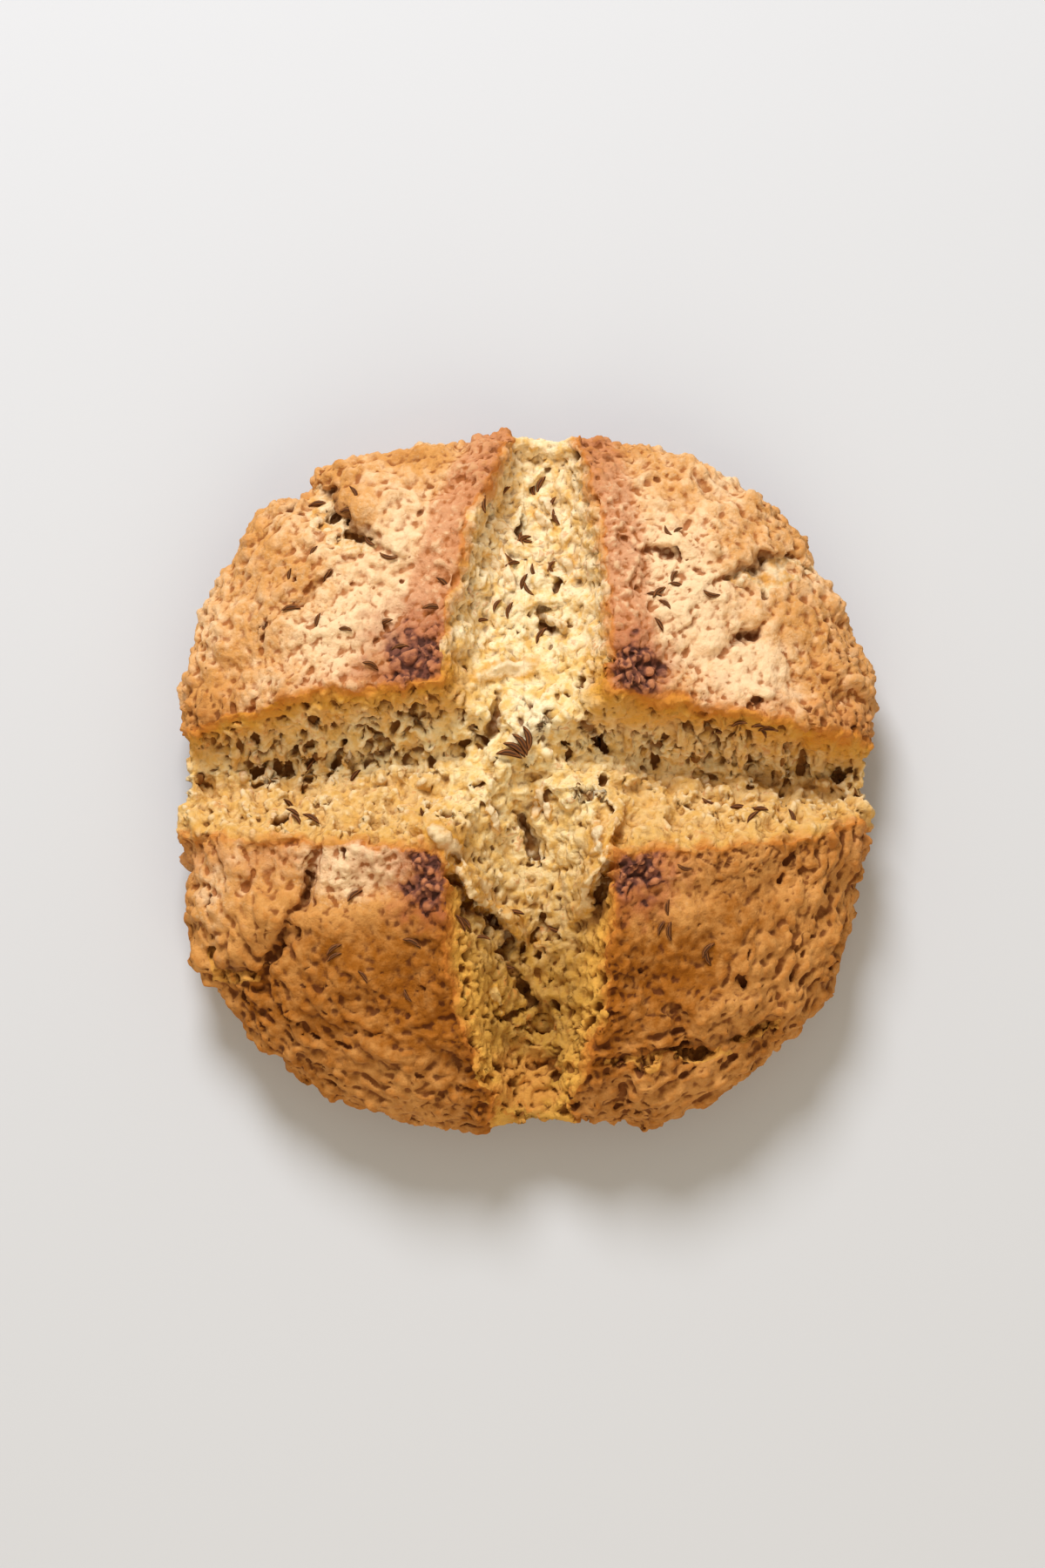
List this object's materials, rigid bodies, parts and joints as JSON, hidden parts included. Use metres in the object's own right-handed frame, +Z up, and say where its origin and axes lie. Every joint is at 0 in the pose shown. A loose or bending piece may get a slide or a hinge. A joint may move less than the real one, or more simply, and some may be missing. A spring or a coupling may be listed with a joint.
{
  "type": "soda bread loaf",
  "caption": "Round, flat-based soda bread loaf with a deep cross cut that opened in the oven, torn crumb in the cut, and a craggy browned crust.",
  "frame": {"origin": "middle of the flat base, on the surface that the loaf stands on", "axes": "+Z up, +Y along the arm of the cross that points away from a person looking at the loaf, +X along the arm to the right"},
  "size_m": [0.2388, 0.2412, 0.0649],
  "materials": {
    "crust": "dry matt baked crust, with pale torn crumb in the cross",
    "seed": "dry matt caraway seed"
  },
  "bodies": {
    "root": {"loaf": "crust"}
  },
  "joints": []
}
